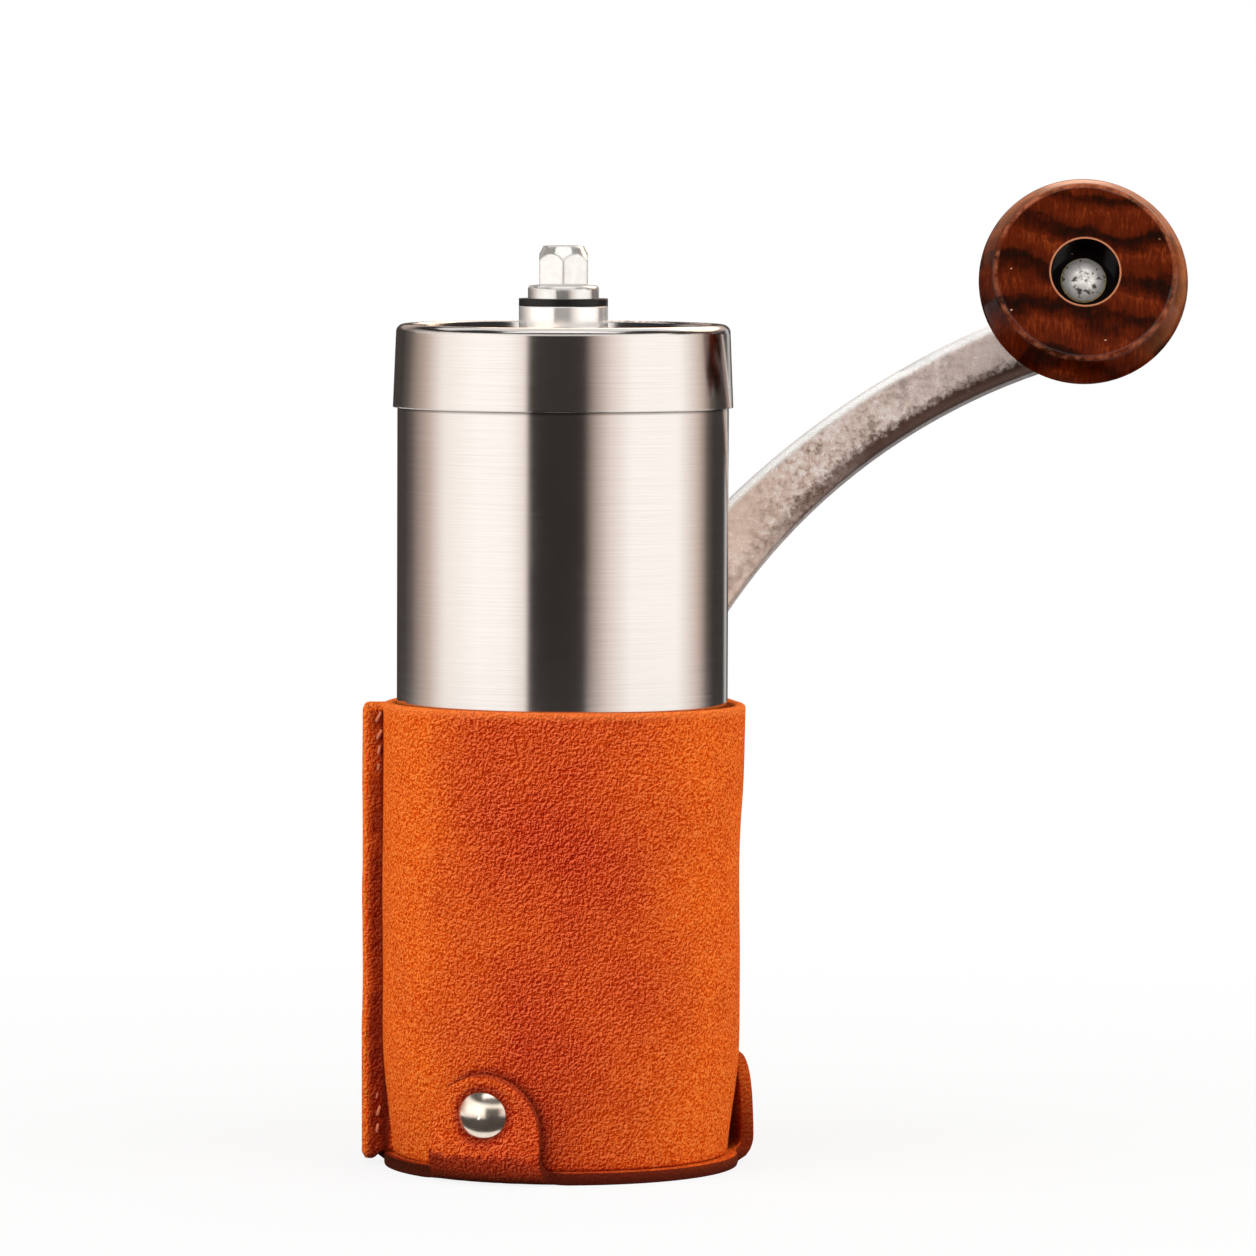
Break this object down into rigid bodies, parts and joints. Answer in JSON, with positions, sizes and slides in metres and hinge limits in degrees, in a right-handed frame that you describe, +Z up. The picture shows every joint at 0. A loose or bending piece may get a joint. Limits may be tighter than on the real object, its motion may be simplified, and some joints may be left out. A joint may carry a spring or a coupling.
{
  "type": "hand crank coffee grinder",
  "caption": "Hand crank coffee grinder: steel hopper and cup with a conical burr mill, in an orange leather sleeve that also holds the curved crank with its wooden knob.",
  "frame": {"origin": "centre of the underside of the leather base", "axes": "+Z up along the body and the drive shaft, -Y towards the picture's camera, +X towards the knob of the stowed crank"},
  "size_m": [0.121, 0.0805, 0.1432],
  "materials": {
    "suede": "orange suede",
    "steel": "brushed",
    "polished_steel": "polished",
    "cast_steel": "satin, tumbled",
    "black_plastic": "matte",
    "burr_ceramic": "fired, unglazed",
    "brass": "turned",
    "knob_wood": "dark red, lacquered"
  },
  "bodies": {
    "sleeve": {"sleeve_wall": "suede", "sleeve_base": "suede", "rivet_caps": "polished_steel", "rivet_posts": "polished_steel"},
    "grounds_cup": {"grounds_cup": "steel"},
    "hopper": {"hopper_tube": "steel", "burr_carrier": "black_plastic", "carrier_bush": "brass", "outer_burr": "burr_ceramic", "burr_retainer": "black_plastic"},
    "cap": {"cap": "steel", "cap_bush": "black_plastic"},
    "drive": {"drive_head": "polished_steel", "drive_shaft": "steel", "shaft_clip": "steel", "spring_washer": "steel", "burr_spring": "steel"},
    "inner_burr": {"inner_burr": "burr_ceramic", "burr_driver": "black_plastic", "click_washer": "steel"},
    "adjuster": {"adjuster_nut": "black_plastic"},
    "crank": {"crank_arm": "cast_steel", "knob_pin": "cast_steel", "knob_washer": "steel"},
    "knob": {"knob": "knob_wood", "knob_bush": "brass"}
  },
  "joints": [
    {"name": "cup_lift", "type": "slide", "parent": "sleeve", "child": "grounds_cup", "axis": [0, 0, 1], "range_m": [0, 0.08]},
    {"name": "hopper_lift", "type": "slide", "parent": "grounds_cup", "child": "hopper", "axis": [0, 0, 1], "range_m": [0, 0.05]},
    {"name": "cap_lift", "type": "slide", "parent": "hopper", "child": "cap", "axis": [0, 0, 1], "range_m": [0, 0.03]},
    {"name": "drive_turn", "type": "hinge", "parent": "hopper", "child": "drive", "pos_m": [0, 0, 0.12], "axis": [0, 0, 1], "continuous": true},
    {"name": "burr_set", "type": "slide", "parent": "drive", "child": "inner_burr", "axis": [0, 0, 1], "range_m": [-0.0018, 0.0009], "deforming": ["burr_spring"]},
    {"name": "adjuster_turn", "type": "hinge", "parent": "inner_burr", "child": "adjuster", "pos_m": [0, 0, 0.034], "axis": [0, 0, 1], "range_deg": [-648.1, 324.1]},
    {"name": "crank_draw", "type": "slide", "parent": "sleeve", "child": "crank", "axis": [0, 0.2756, 0.9613], "range_m": [0, 0.04]},
    {"name": "knob_turn", "type": "hinge", "parent": "crank", "child": "knob", "pos_m": [0.07643, 0.04672, 0.12117], "axis": [0, -0.9613, 0.2756], "continuous": true}
  ],
  "couplings": [
    {"joint": "adjuster_turn", "follows": "burr_set", "rad_per_m": 6283.2}
  ]
}
